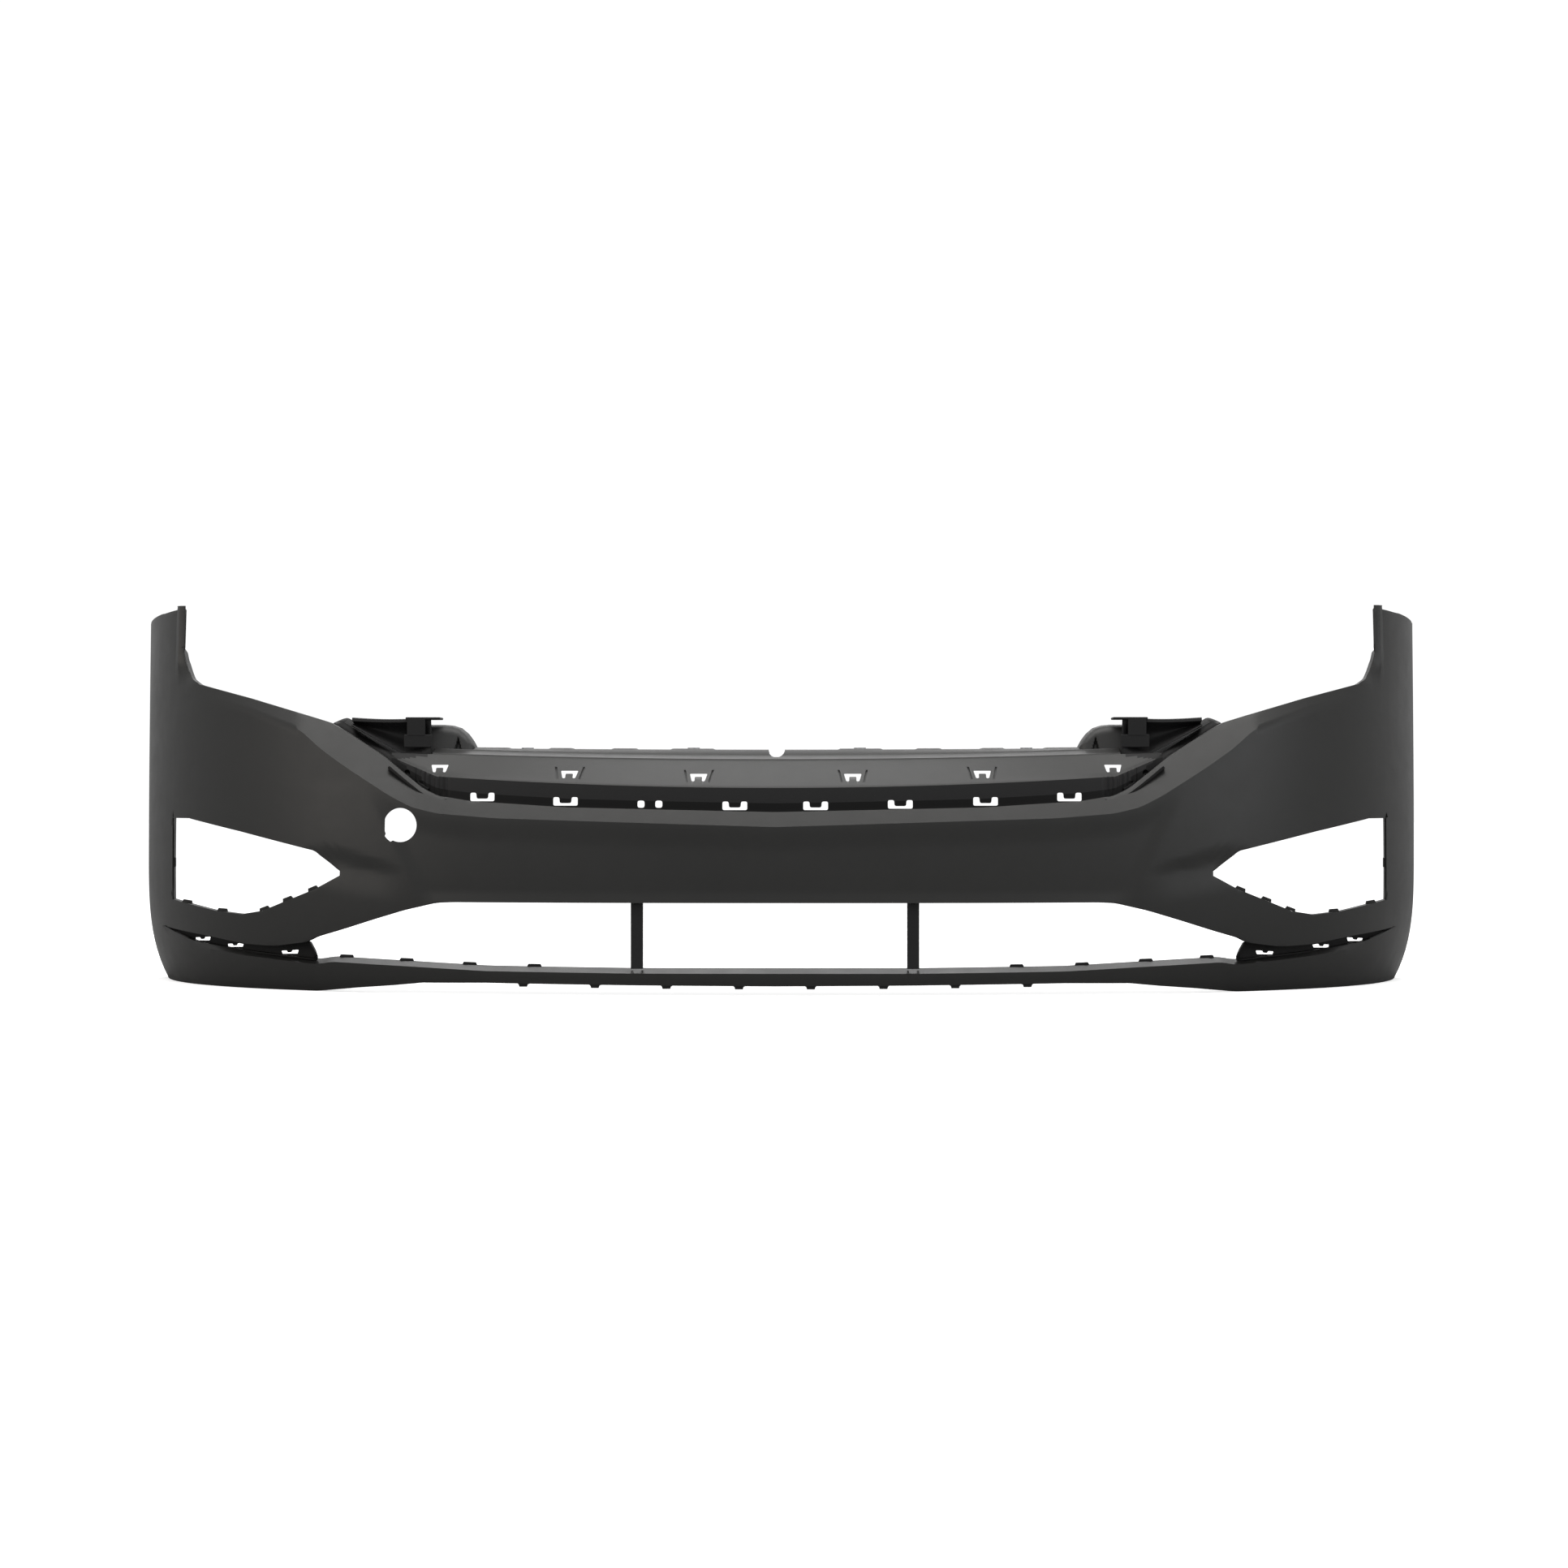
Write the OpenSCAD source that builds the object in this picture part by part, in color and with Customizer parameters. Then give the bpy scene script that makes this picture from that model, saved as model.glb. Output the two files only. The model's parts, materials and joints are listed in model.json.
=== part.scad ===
// Front bumper cover of a mid-size saloon car, bare, with its clipped-on carriers and fasteners.
// Frame: -Y is the front, +X is to the right when the cover is seen from the front, +Z is up.
// The origin is on the floor, below the middle of the cover. Depths are measured back from the nose.

/* [Overall] */
// Width over both wings
overall_w = 1794; // [1495:1:2155]
// Depth from the nose to the rear ends of the wings
overall_d = 592; // [493:1:711]
// Height of the wing tips over the floor
overall_h = 514; // [428:1:617]

/* [Skin] */
// Wall of the skin
wall = 3; // [2.4:0.1:3.6]
// Depth of the return flange round each opening
flange_d = 16; // [13:0.5:20]
// Depth of the flange along the wheel arch
arch_flange_d = 22; // [20:0.5:28]
// Radius of the wheel arch
arch_r = 370; // [308:1:444]
// Width of the tow-eye hole
tow_w = 44; // [36:0.5:53]

/* [Carriers] */
// Wall of the black mouldings behind the skin
carrier_t = 2.5; // [2:0.1:3]
// Distance from the skin's upper edge back to the wall of the grille shelf
shelf_back = 36; // [30:1:44]
// Length of a clip slot in the grille shelf
slot_l = 32; // [26:0.5:38]
// Height of a clip slot in the grille shelf
slot_h = 11; // [9:0.5:13]
// Width of a strut across the lower opening
strut_w = 15.5; // [13:0.5:19]
// Distance of each strut from the middle
strut_x = 177; // [147:1:213]
// Depth of the trim channel behind the skin
channel_d = 22; // [18:1:27]

/* [Fixings] */
// Radius of the bolt holes along the top
bolt_r = 3.3; // [2.7:0.1:4]
// Distance between bolt holes along the top
bolt_pitch = 220; // [183:1:264]
// Radius of the thread bore in a spring nut
nut_r = 2.4; // [2:0.1:2.9]
// Width of a spring nut
nut_w = 14; // [12:0.5:17]
// Radius of a push rivet's shank
rivet_r = 3; // [2.5:0.1:3.6]
// Clearance between pieces that fit together
clear = 0.2; // [0.15:0.05:0.25]

/* [Hidden] */

$fn = 48;
eps = 0.01;
far = 60;

// Colours
grey = [0.24, 0.24, 0.23];
black = [0.12, 0.12, 0.13];
steel = [0.6, 0.61, 0.63];

// The styling curves below are drawn at a size of 1794 x 592 x 514 and stretched to the overall size.
kx = overall_w / 1794;
kd = overall_d / 592;
kz = overall_h / 514;

half_w = overall_w / 2;
// The plan curve is a superellipse that closes a little behind the wings' rear ends.
plan_n = 2.6;
plan_b = overall_d + 8;

// Height of the foremost line and how the face leans back above and tucks back below it
nose_z = 150 * kz;
lean_up = 25 * kd;
lean_span = 200 * kz;
tuck_d = 20 * kd;
tuck_w = 27 * kx;
tuck_z = 180 * kz;

function y_of(d) = d - overall_d / 2;
function lean(z) = z > nose_z ? lean_up * pow((z - nose_z) / lean_span, 1.6)
    : tuck_d * pow((nose_z - max(z, 0)) / nose_z, 2);
function half_at(z) = half_w - tuck_w * pow(max(0, 1 - max(z, 0) / tuck_z), 3.5);

// Depth of the skin's outer face, or of a face set in behind it, at a place in the front view
function skin_d(x, z, inset = 0) =
    let (front = lean(z) + inset, r = min(1, abs(x) / (half_at(z) - inset)))
    plan_b - (plan_b - front) * pow(1 - pow(r, plan_n), 1 / plan_n);
function skin_y(x, z, inset = 0) = y_of(skin_d(x, z, inset));

// Where the skin's outer face is, out from the middle, at a depth and height
function skin_x(d, z, inset = 0) =
    (half_at(z) - inset) * pow(1 - pow((plan_b - d) / (plan_b - lean(z) - inset), plan_n), 1 / plan_n);

// Front view of the right half of the edge that runs from the beam's upper edge to the wing tip
beam_top = 235 * kz;
upper_edge = [[0, beam_top], [267 * kx, 241 * kz], [393 * kx, 249 * kz], [436 * kx, 256 * kz],
    [457 * kx, 266 * kz], [479 * kx, 282 * kz], [511 * kx, 307 * kz], [556 * kx, 335 * kz],
    [584 * kx, 351 * kz], [620 * kx, 362 * kz], [700 * kx, 385 * kz], [778 * kx, 405 * kz],
    [792 * kx, 414 * kz], [800 * kx, 430 * kz], [803 * kx, 450 * kz]];
lower_edge = [[0, 12 * kz], [182 * kx, 13 * kz], [372 * kx, 15 * kz], [457 * kx, 14 * kz],
    [496 * kx, 10 * kz], [544 * kx, 6 * kz], [600 * kx, 0], [836 * kx, 0], [870 * kx, 10 * kz]];
fog_top = [[567, 158], [602, 184], [708, 208], [792, 225], [821, 225]];
fog_low = [[567, 152], [601, 134], [647, 116], [677, 104], [707, 99], [745, 102], [792, 110], [821, 115]];
grille_top = [[0, 119], [414, 119], [436, 118], [479, 108], [522, 95], [566, 81], [607, 69]];
grille_low = [[600, 45], [579, 45], [479, 41], [372, 36], [182, 34], [0, 34]];
channel_top = [[611, 65], [661, 58], [707, 60], [758, 68], [839, 77]];
channel_low = [[839, 77], [785, 60], [707, 50], [635, 44], [600, 41]];

function stretch(pts) = [for (p = pts) [p[0] * kx, p[1] * kz]];
function height_on(pts, x, i = 0) =
    i >= len(pts) - 2 || x <= pts[i + 1][0]
    ? pts[i][1] + (pts[i + 1][1] - pts[i][1]) * (x - pts[i][0]) / (pts[i + 1][0] - pts[i][0])
    : height_on(pts, x, i + 1);
function top_z(x) = height_on(upper_edge, abs(x));
function lip_z(x) = height_on(lower_edge, abs(x));
function flipped(pts) = [for (i = [len(pts) - 1 : -1 : 0]) pts[i]];
beam_low = stretch(grille_top);
wing_low = stretch(concat(grille_top, channel_top));
lip_top = stretch(flipped(concat(channel_low, grille_low)));
fog_over = stretch(fog_top);
fog_under = stretch(fog_low);

// Side view of the wing's rear end: wheel arch, seam to the front wing and wing tip
arch_at = [803 * kd, 140 * kz];
seam_angle = 45.75;
seam_low = [arch_at[0] - arch_r * cos(seam_angle), arch_at[1] + arch_r * sin(seam_angle)];
arch_flange_in = 1;
tip_rear = [overall_d, 500 * kz];
tip_front = [255 * kd, overall_h];

// Grille shelf: heights of the wall's top, the crease and the rear edge, and their depths
function shelf_wall_z(x) = (268 + 12 * pow(x / (396 * kx), 2)) * kz;
function crease_z(x) = (302 + 6 * pow(x / (390 * kx), 2)) * kz;
function rear_z(x) = (315 + 4 * pow(x / (392 * kx), 2)) * kz;
crease_d = 118 * kd;
rear_d = 158 * kd;
bolt_d = 174 * kd;
flange_end_d = bolt_d + 16;
lap = 14;
shelf_end = 470 * kx;
flange_z = rear_z(1.5 * bolt_pitch);
flange_end = max(402 * kx, 1.5 * bolt_pitch + bolt_r + 9);

// Headlamp supports
support_in = 452 * kx;
support_out = 556 * kx;
support_z = 357 * kz;
support_front = 128 * kd;
support_rear = support_front + 70;
lap_rise = lap * (rear_z(shelf_end) - crease_z(shelf_end)) / (rear_d - crease_d);
support_foot = crease_z(shelf_end) - carrier_t + lap_rise;
cap_top = 349 * kz;

// Fasteners
sleeve_r = bolt_r + 2.2;
sleeve_h = carrier_t + 3;
rivet_head_r = rivet_r + 2.5;
rivet_head_h = 1.6;
rivet_xs = [65, 215, 325, 425];
nut_t = 1;
nut_boss_h = 5;
nut_boss_r = nut_r + 2;
tab_xs = [46, 139, 231, 324];
tab_hole_back = 10;
arch_nut_angles = [0, 22, 40];

// A solid that joins a row of rings, each with the same number of points
module sweep(rings) {
    n = len(rings[0]);
    m = len(rings);
    points = [for (r = rings) for (p = r) p];
    sides = [for (j = [0 : m - 2]) for (i = [0 : n - 1])
        let (a = j * n + i, b = j * n + (i + 1) % n)
        each [[a, b, a + n], [b, b + n, a + n]]];
    caps = [[for (i = [n - 1 : -1 : 0]) i], [for (i = [0 : n - 1]) (m - 1) * n + i]];
    polyhedron(points, concat(sides, caps), convexity = 12);
}

// Sorted values, without those that nearly repeat
function sorted(v) = len(v) < 2 ? v
    : let (pivot = v[floor(len(v) / 2)])
    concat(sorted([for (a = v) if (a < pivot - 0.5) a]), [pivot], sorted([for (a = v) if (a > pivot + 0.5) a]));

// Stations from one end to another that take in each corner of the outlines, no further apart than a step
function stations(from, to, outlines, step = 45) =
    let (xs = sorted(concat([from, to], [for (o = outlines) for (p = o) for (s = [-1, 1])
        if (s * p[0] > from && s * p[0] < to) s * p[0]])))
    concat([for (i = [0 : len(xs) - 2]) let (gap = xs[i + 1] - xs[i], n = ceil(gap / step))
        if (gap > 0.01) for (k = [0 : n - 1]) xs[i] + gap * k / n], [to]);

// Section of the skin across one station: the wall between two heights, with a flange back from each
function section(x, low, high, rows = 4) =
    let (deep_high = skin_y(x, high, flange_d), deep_low = skin_y(x, low, flange_d))
    concat(
        [for (i = [0 : rows]) let (z = low + (high - low) * i / rows) [x, skin_y(x, z), z]],
        [[x, deep_high, high], [x, deep_high, high - wall]],
        [for (i = [rows : -1 : 0]) let (z = low + wall + (high - low - 2 * wall) * i / rows)
            [x, skin_y(x, z, wall), z]],
        [[x, deep_low, low + wall], [x, deep_low, low]]);

module ribbon(xs, low, high) {
    sweep([for (x = xs) section(x, low(x), high(x))]);
}

// Drawn in the front view and pushed through the cover from nose to tail
module through(front = -far, back = overall_d + far) {
    translate([0, y_of(back), 0])
        rotate([90, 0, 0])
            linear_extrude(back - front)
                children();
}

// Drawn in the side view and pushed through from side to side
module across(width = overall_w + 2 * far) {
    translate([-width / 2, 0, 0])
        rotate([90, 0, 90])
            linear_extrude(width)
                children();
}

module both_sides() {
    children();
    mirror([1, 0, 0]) children();
}

side_x = fog_low[7][0] * kx;
nose_x = fog_low[0][0] * kx;
horn_x = 803 * kx;

// Beam across the middle, from fog opening to fog opening
module beam() {
    xs = stations(-nose_x, nose_x, [beam_low, upper_edge]);
    ribbon(xs, function (x) height_on(beam_low, abs(x)), function (x) top_z(x));
}

module lip() {
    ribbon(stations(-side_x, side_x, [lip_top, lower_edge]),
        function (x) lip_z(x), function (x) height_on(lip_top, abs(x)));
}

module wing_over_fog() {
    ribbon(stations(nose_x, horn_x, [fog_over, upper_edge]),
        function (x) height_on(fog_over, x), function (x) top_z(x));
}

// Foot of the wing tip, with a flange up its inner edge
module horn() {
    ribbon([horn_x, side_x], function (x) height_on(fog_over, x), function (x) overall_h);
    sweep([for (z = [440 * kz, overall_h - wall / 2])
        [[horn_x, skin_y(horn_x, z) + wall / 2, z], [horn_x, skin_y(horn_x, z, flange_d), z],
        [horn_x + wall, skin_y(horn_x, z, flange_d), z],
        [horn_x + wall, skin_y(horn_x, z) + wall / 2, z]]]);
}

module wing_under_fog() {
    ribbon(stations(nose_x, side_x, [fog_under, wing_low]),
        function (x) height_on(wing_low, x), function (x) height_on(fog_under, x));
}

// Side of the wing, from the fog opening back to the wheel arch, before it is cut to the side view
module wing_side() {
    zs = [0, 20 * kz, 60 * kz, 110 * kz, 180 * kz, 280 * kz, 400 * kz, overall_h];
    rows = concat([for (z = zs) [z, 0]], [for (z = flipped(zs)) [z, wall]]);
    steps = 10;
    sweep([for (i = [0 : steps])
        [for (row = rows) let (z = row[0], first = skin_d(side_x, z, row[1]),
            d = first + (overall_d + 4 - first) * i / steps)
            [i == 0 ? side_x : skin_x(d, z, row[1]), y_of(d), z]]]);
}

// Flange along the wheel arch and up the seam to the wing tip, a little inside the edge
module arch_flange() {
    low_angle = -asin(arch_at[1] / arch_r) + 2;
    near = arch_flange_in;
    away = near + wall;
    profile = [[near, wall / 2], [away, wall / 2], [away, arch_flange_d], [near, arch_flange_d]];
    sweep([for (i = [0 : 14])
        [for (q = profile)
            let (a = low_angle + (seam_angle - low_angle) * i / 14, r = arch_r + q[0],
                d = arch_at[0] - r * cos(a), z = arch_at[1] + r * sin(a))
            [skin_x(d, z, q[1]), y_of(d), z]]]);
    sweep([for (p = [seam_low - [0, 3], tip_rear - [1, 4]])
        [for (q = profile) let (d = p[0] - q[0]) [skin_x(d, p[1], q[1]), y_of(d), p[1]]]]);
}

module side_view() {
    difference() {
        polygon([[y_of(-far), -far], [y_of(seam_low[0]), -far], [y_of(seam_low[0]), seam_low[1]],
            [y_of(tip_rear[0]), tip_rear[1]], [y_of(tip_front[0]), tip_front[1]],
            [y_of(-far), tip_front[1]]]);
        translate([y_of(arch_at[0]), arch_at[1]]) circle(arch_r, $fn = 60);
    }
}

// Tow-eye hole: round, flatter on the side towards the wing, with a small pry notch
module tow_hole() {
    at = [-485 * kx, 218 * kz];
    through() {
        translate(at) {
            hull() {
                translate([2, 0]) circle(tow_w / 2 - 2, $fn = 28);
                translate([-tow_w / 2 + 6, -3]) square([8, 14], center = true);
            }
            rotate(225) translate([tow_w / 2 - 3, 0]) square([8, 7], center = true);
        }
    }
}

// A slot with round ends, drawn about its middle
module slot(length, height) {
    hull() for (s = [-1, 1]) translate([s * (length - height) / 2, 0]) circle(d = height, $fn = 12);
}

// Places along the arch flange, at half its width and half its wall
arch_nut_at = arch_r + arch_flange_in + wall / 2;
function arch_nut_d(angle) = arch_at[0] - arch_nut_at * cos(angle);
function arch_nut_z(angle) = arch_at[1] + arch_nut_at * sin(angle);
function arch_edge_x(angle, inset) = skin_x(arch_nut_d(angle), arch_nut_z(angle), inset);
function arch_nut_x(angle) = (arch_edge_x(angle, wall) + arch_edge_x(angle, arch_flange_d)) / 2;
function arch_nut_edge(angle) = (arch_edge_x(angle, wall) - arch_edge_x(angle, arch_flange_d)) / 2;

module at_arch(angle) {
    translate([arch_nut_x(angle), y_of(arch_nut_d(angle)), arch_nut_z(angle)])
        rotate([-angle, 0, 0]) children();
}

module fascia_skin() {
    color(grey) difference() {
        union() {
            beam();
            lip();
            both_sides() {
                wing_over_fog();
                wing_under_fog();
                horn();
                intersection() {
                    wing_side();
                    across() side_view();
                }
                arch_flange();
            }
        }
        both_sides() through(100 * kd, overall_d)
            polygon([[side_x - 2, 71 * kz], [side_x - 2, 75 * kz], [839 * kx, 78 * kz]]);
        tow_hole();
        both_sides() for (angle = arch_nut_angles) at_arch(angle) rotate([90, 0, 0])
            cylinder(r = nut_boss_r, h = 4 * wall, center = true, $fn = 20);
        both_sides() for (x = tab_xs) at_tab(x)
            linear_extrude(4 * wall, center = true) slot(2 * nut_boss_r + 2, 2 * nut_boss_r);
        both_sides() for (x = rivet_xs) at_rivet(x)
            cylinder(r = rivet_r + clear, h = 4 * wall, center = true, $fn = 20);
        both_sides() strut_rivet_places()
            cylinder(r = rivet_r + clear, h = 4 * wall, center = true, $fn = 20);
    }
}

// Places that the fasteners share with the holes they go through
module at_rivet(x) {
    z = top_z(x * kx);
    translate([x * kx, skin_y(x * kx, z) + flange_d / 2 + wall / 2, z]) children();
}

module at_tab(x) {
    z = lip_z(x * kx);
    translate([x * kx, skin_y(x * kx, z) + tab_hole_back, z]) children();
}

module grille_shelf() {
    color(black) difference() {
        sweep([for (x = stations(-shelf_end, shelf_end, [upper_edge], 24)) shelf_ring(x)]);
        both_sides() for (x = [52, 271, 380]) clip_slot(x);
        clip_slot(161);
        for (x = [-172, -150]) clip_hole(x);
        both_sides() for (x = [100, 268, 438]) tongue_slot(x);
        both_sides() for (x = rivet_xs) at_rivet(x) cylinder(r = rivet_r + clear, h = far, center = true);
    }
}

// Section of the shelf: ledge under the skin's flange, wall, sloped panel and lap under the rail
function shelf_ring(x) =
    let (edge = top_z(x), drop = wall * 1.25 + clear, under = edge - drop,
        front = skin_y(x, edge) + wall + 1.5, foot = skin_y(x, edge) + shelf_back,
        wall_top = max(shelf_wall_z(x), under + 4 * carrier_t), crease = max(crease_z(x), wall_top + 4),
        rise = (rear_z(x) - crease_z(x)) / (rear_d - crease_d), t = carrier_t,
        low = crease - t - clear)
    [[x, front, under], [x, foot, under], [x, foot + 4, wall_top], [x, y_of(crease_d) - clear, crease],
        [x, y_of(crease_d), low], [x, y_of(crease_d) + lap, low + rise * lap],
        [x, y_of(crease_d) + lap, low + rise * lap - t], [x, y_of(crease_d) - 1, low - t],
        [x, foot + 4 + t, wall_top - t], [x, foot + t, under - t], [x, front, under - t]];

// Height of the clip slots over the beam's edge
function slot_z(x) = (242 + 12 * pow(x / 380, 2)) * kz;

// Clip slot: two upright lobes joined by a thin bridge, with the tongue between them
module clip_slot(x) {
    lobe = slot_l / 4;
    d0 = skin_d(x * kx, top_z(x * kx)) + shelf_back - 8;
    through(d0, d0 + 24)
        translate([x * kx, slot_z(x)]) {
            for (s = [-1, 1]) translate([s * (slot_l - lobe) / 2, 0])
                hull() for (e = [-1, 1]) translate([0, e * (slot_h - lobe) / 2]) circle(d = lobe, $fn = 16);
            translate([0, -slot_h / 2 + 1.7]) square([slot_l - lobe, 3], center = true);
        }
}

module clip_hole(x) {
    d0 = skin_d(x * kx, top_z(x * kx)) + shelf_back - 8;
    through(d0, d0 + 24) translate([x * kx, slot_z(x)]) circle(d = 8, $fn = 16);
}

// Slot in the sloped panel: wider at the top, round a tongue that comes up from below
module tongue_slot(x) {
    z = (shelf_wall_z(x * kx) + crease_z(x * kx)) / 2 - 5;
    through(skin_d(x * kx, top_z(x * kx)) + shelf_back - 4, crease_d - 4)
        translate([x * kx, z]) difference() {
            polygon([[-11, 5], [11, 5], [7, -5], [-7, -5]]);
            translate([-4.5, -6]) square([9, 6.5]);
        }
}

// Rail behind the shelf: sloped face up to the rear edge, then a level flange for the bolts
notch_r = 11;

module mounting_flange() {
    color(black) difference() {
        union() {
            sweep([for (x = stations(-flange_end, flange_end, [upper_edge], 24)) flange_ring(x)]);
            translate([-flange_end, y_of(rear_d), flange_z - carrier_t])
                cube([2 * flange_end, flange_end_d - rear_d, carrier_t]);
        }
        translate([0, y_of(rear_d), flange_z]) rotate([90, 0, 0])
            cylinder(r = notch_r, h = 50, center = true);
        for (x = [-1.5 : 1 : 1.5]) at_bolt(x) cylinder(r = sleeve_r + clear, h = far, center = true);
    }
}

function flange_ring(x) =
    let (t = carrier_t, front = y_of(crease_d), rear = y_of(rear_d), lap = rear + 2)
    [[x, front, crease_z(x)], [x, rear, flange_z], [x, lap, flange_z],
        [x, lap, flange_z - t], [x, front, crease_z(x) - t]];

module at_bolt(i) {
    x = i * bolt_pitch;
    translate([x, y_of(bolt_d), flange_z]) children();
}

// Steel sleeves that keep the bolts from crushing the flange
module bolt_sleeves() {
    color(steel) for (i = [-1.5 : 1 : 1.5]) at_bolt(i) difference() {
        union() {
            cylinder(r = sleeve_r + 2.5, h = 1.2);
            translate([0, 0, -sleeve_h]) cylinder(r = sleeve_r, h = sleeve_h + eps);
        }
        cylinder(r = bolt_r, h = far, center = true);
    }
}

module push_rivet(grip) {
    cylinder(r = rivet_head_r, h = rivet_head_h);
    translate([0, 0, -grip - eps]) cylinder(r = rivet_r, h = grip + 2 * eps);
    translate([0, 0, -grip - rivet_head_h]) cylinder(r = rivet_head_r - 1.5, h = rivet_head_h);
}

module shelf_rivets() {
    grip = wall * 1.25 + clear + carrier_t + 0.4;
    color(black) both_sides() for (x = rivet_xs) at_rivet(x) translate([0, 0, 0.2]) push_rivet(grip);
}

// Side rails: plates that lean inwards behind the skin's diagonal edges
rail_xs = [for (i = [0 : 6]) shelf_end + 2 + 19 * kx * i];
rail_lean = 13;
rail_deep = 40;

function edge_normal(x) =
    let (rise = (top_z(x + 1) - top_z(x - 1)) / 2, len = sqrt(1 + rise * rise)) [-rise / len, 1 / len];

function rail_ring(x) =
    let (z = top_z(x), n = edge_normal(x), t = carrier_t, y = skin_y(x, z, flange_d) + 2 * clear,
        end = min(y + rail_deep, y_of(support_front) - clear))
    [[x, y, z], [x + n[0] * rail_lean, end, z + n[1] * rail_lean],
        [x + n[0] * (rail_lean - t), end, z + n[1] * (rail_lean - t)],
        [x - n[0] * t, y, z - n[1] * t]];

module right_side_rail() {
    color(black) difference() {
        sweep([for (x = rail_xs) rail_ring(x)]);
        through(0, support_front) translate([rail_xs[1], top_z(rail_xs[1]) + 4]) circle(d = 7, $fn = 24);
    }
}

// Headlamp support: hollow hump, open at the back and below
module support_outline() {
    polygon([[support_in, support_foot], [support_in, support_z - 6 * kz],
        [support_in + 6, support_z - 2], [support_out - 30 * kx, support_z - 2],
        [support_out, support_z - 2], [support_out, support_z - 8 * kz],
        [support_in + 52 * kx, support_foot]]);
}

module right_headlamp_support() {
    t = carrier_t;
    color(black) {
        difference() {
            through(support_front, support_rear) support_outline();
            through(support_front + t, support_rear + 1) {
                offset(delta = -t) support_outline();
                translate([support_in + t, support_foot - 1]) square([46 * kx, 2 * t + 1]);
            }
            through(support_front - 1, support_front + t + 1)
                translate([support_in + 42 * kx, support_z - 13 * kz]) slot(20, 9);
        }
        through(crease_d + clear, support_front + eps)
            translate([support_in + 1, support_foot]) square([16 * kx, t]);
    }
}

// Lamp bracket: upright on the support's front with a plate over its top
module right_lamp_bracket() {
    t = 3;
    color(black) {
        through(support_front - clear - t, support_front - clear)
            translate([support_in + 8 * kx, support_z - 23 * kz]) square([24 * kx, 23 * kz]);
        through(support_front - clear - t, support_front + 40)
            translate([support_in - 12 * kx, support_z - 2 + clear]) square([44 * kx, t]);
    }
}

// Lamp cap: rounded end of the support over the end of the mounting flange
module cap_outline() {
    x0 = flange_end + clear;
    w = support_in - clear - x0;
    z0 = flange_z - carrier_t;
    h = cap_top - z0;
    translate([x0 + w, z0]) intersection() {
        scale([w / h, 1]) circle(h, $fn = 64);
        translate([-w, 0]) square([w, h]);
    }
}

module right_lamp_cap() {
    color(black) difference() {
        through(support_front + 2, support_rear - 8) cap_outline();
        through(support_front + 2 + carrier_t, support_rear) offset(delta = -carrier_t) cap_outline();
    }
}

// Tie strut: upright behind the lower opening, with a foot over the beam's lower flange
strut_z = height_on(beam_low, strut_x);
strut_foot_z = height_on(lip_top, strut_x);
strut_y = skin_y(strut_x, strut_z) + flange_d + 1;
strut_t = 3;
strut_rib = 10;

module strut_rivet_places() {
    translate([strut_x, skin_y(strut_x, strut_z) + flange_d / 2 + 2, strut_z + wall / 2]) children();
}

module right_tie_strut() {
    low = strut_foot_z + clear;
    high = strut_z + wall + clear + carrier_t;
    color(black) translate([strut_x - strut_w / 2, strut_y, low]) {
        cube([strut_w, strut_t, high - low]);
        for (x = [0, strut_w - 2.5]) translate([x, 0, 0]) cube([2.5, strut_rib, high - low]);
        difference() {
            translate([0, -13, high - low - carrier_t]) cube([strut_w, 13 + eps, carrier_t]);
            translate([strut_w / 2, flange_d / 2 + 1 - flange_d, 0])
                cylinder(r = rivet_r + clear, h = high);
        }
    }
}

module strut_rivets() {
    grip = wall + 2 * clear + carrier_t;
    color(black) both_sides() strut_rivet_places()
        translate([0, 0, wall / 2 + 2 * clear + carrier_t]) push_rivet(grip + clear);
}

// Trim channel: recess behind the gap between wing and lip, closed at its inner end
channel_hi = stretch(channel_top);
channel_lo = stretch(flipped(channel_low));
channel_in = 604 * kx;
channel_out = 802 * kx;

function channel_ring(x) =
    let (hi = height_on(channel_hi, x) - clear, lo = height_on(channel_lo, x) + clear, t = carrier_t,
        mid = (hi + lo) / 2, front = skin_y(x, mid, 1.5), back = skin_y(x, mid, channel_d))
    [[x, front, hi], [x, back, hi], [x, back, lo], [x, front, lo],
        [x, front, lo + t], [x, back - 1.4 * t, lo + t], [x, back - 1.4 * t, hi - t], [x, front, hi - t]];

module right_trim_channel() {
    foot = [600 * kx, 45 * kz];
    head = [611 * kx, 64 * kz];
    wall_foot = foot + [carrier_t, 0];
    wall_head = head + [carrier_t, 0];
    color(black) difference() {
        union() {
            sweep([for (x = stations(channel_in, channel_out, [channel_hi, channel_lo], 16)) channel_ring(x)]);
            through(skin_d(head[0], head[1], 1.5), skin_d(foot[0], foot[1], channel_d))
                polygon([foot, head, wall_head, wall_foot]);
        }
        for (x = [639, 722, 774] * kx)
            through() translate([x, (height_on(channel_hi, x) + height_on(channel_lo, x)) / 2])
                rotate(10) slot(24, 4.5);
    }
}

// Catches: small wedges that hold the fog-lamp bezels, on the edge of each opening
module catch_block(length, height, depth) {
    rotate([90, 0, 0]) linear_extrude(depth, center = true)
        polygon([[-length / 2, 0], [length / 2, 0], [length / 2 - 1.5, height], [1.5 - length / 2, height]]);
}

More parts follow.
